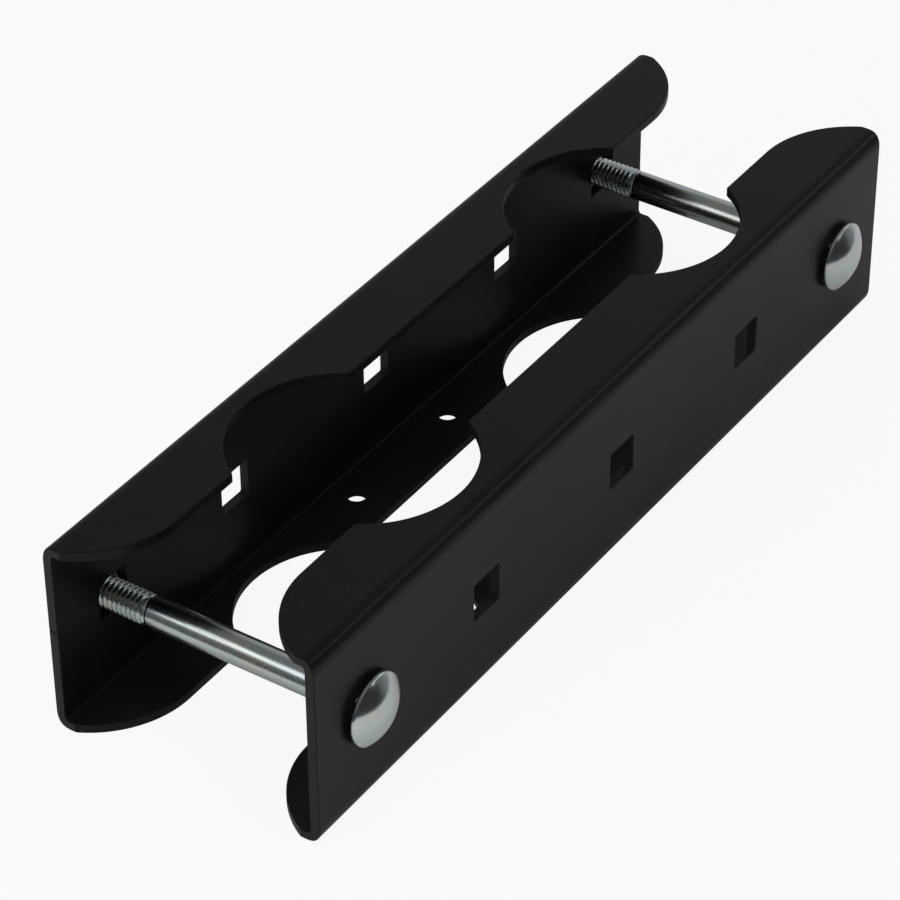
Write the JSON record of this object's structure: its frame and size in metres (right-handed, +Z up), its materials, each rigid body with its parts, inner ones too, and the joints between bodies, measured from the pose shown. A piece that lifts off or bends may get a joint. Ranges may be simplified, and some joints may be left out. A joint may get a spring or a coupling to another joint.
{
  "type": "two-channel pole clamp",
  "caption": "Clamp of facing bent-steel channels with round cutouts for upright poles, drawn together by carriage bolts.",
  "frame": {"origin": "bottom centre of the whole object's bounding box, on the plane that the lower flanges stand on", "axes": "+X across the clamp along the bolts, from the nuts towards the bolt heads; +Y along the channels; +Z up"},
  "size_m": [0.1068, 0.3, 0.063],
  "materials": {
    "powder_coat": "satin black powder coat with a fine texture",
    "bolt_zinc": "bright zinc plate",
    "washer_zinc": "bright zinc plate",
    "nut_zinc": "bright zinc plate"
  },
  "bodies": {
    "front_jaw": {"front_channel": "powder_coat", "near_carriage_bolt": "bolt_zinc", "far_carriage_bolt": "bolt_zinc"},
    "rear_jaw": {"rear_channel": "powder_coat", "near_washer": "washer_zinc", "far_washer": "washer_zinc"},
    "near_nut": {"near_hex_nut": "nut_zinc"},
    "far_nut": {"far_hex_nut": "nut_zinc"}
  },
  "joints": [
    {"name": "clamp_slide", "type": "slide", "parent": "front_jaw", "child": "rear_jaw", "axis": [1, 0, 0], "range_m": [-0.0015, 0.018]},
    {"name": "near_nut_turn", "type": "hinge", "parent": "rear_jaw", "child": "near_nut", "pos_m": [-0.0435, -0.126, 0.0311], "axis": [1, 0, 0], "range_deg": [-345, 4090]},
    {"name": "far_nut_turn", "type": "hinge", "parent": "rear_jaw", "child": "far_nut", "pos_m": [-0.0435, 0.126, 0.0314], "axis": [1, 0, 0], "range_deg": [-345, 4090]}
  ],
  "couplings": [
    {"joint": "near_nut_turn", "follows": "clamp_slide", "rad_per_m": 3957.9},
    {"joint": "far_nut_turn", "follows": "clamp_slide", "rad_per_m": 3957.9}
  ]
}
